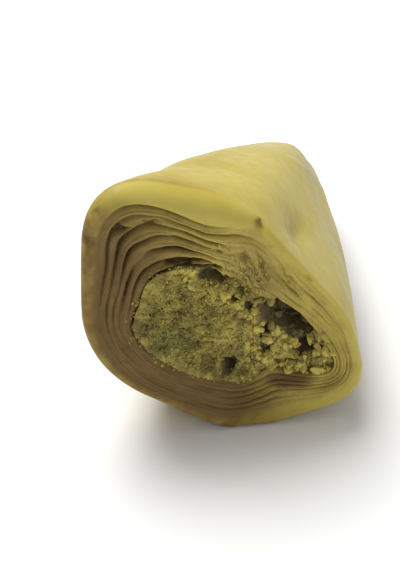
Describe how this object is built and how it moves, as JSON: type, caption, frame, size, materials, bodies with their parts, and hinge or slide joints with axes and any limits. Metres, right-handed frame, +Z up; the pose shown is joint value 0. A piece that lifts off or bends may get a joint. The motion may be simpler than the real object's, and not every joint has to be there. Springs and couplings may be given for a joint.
{
  "type": "cut triangular pistachio baklava",
  "caption": "Half of a folded pastry triangle, cut across to show thin dough layers round a ground pistachio core.",
  "frame": {"origin": "under the middle of the half, on the surface that it rests on", "axes": "+Z up, the cut face looks along -Y, the far corner points along +Y, +X to the right as the cut is seen"},
  "size_m": [0.0404, 0.048, 0.0424],
  "materials": {
    "dough": "waxy pale golden dough with a faint floury bloom",
    "filling": "rough ground pistachio"
  },
  "bodies": {
    "root": {"dough": "dough", "filling": "filling"}
  },
  "joints": []
}
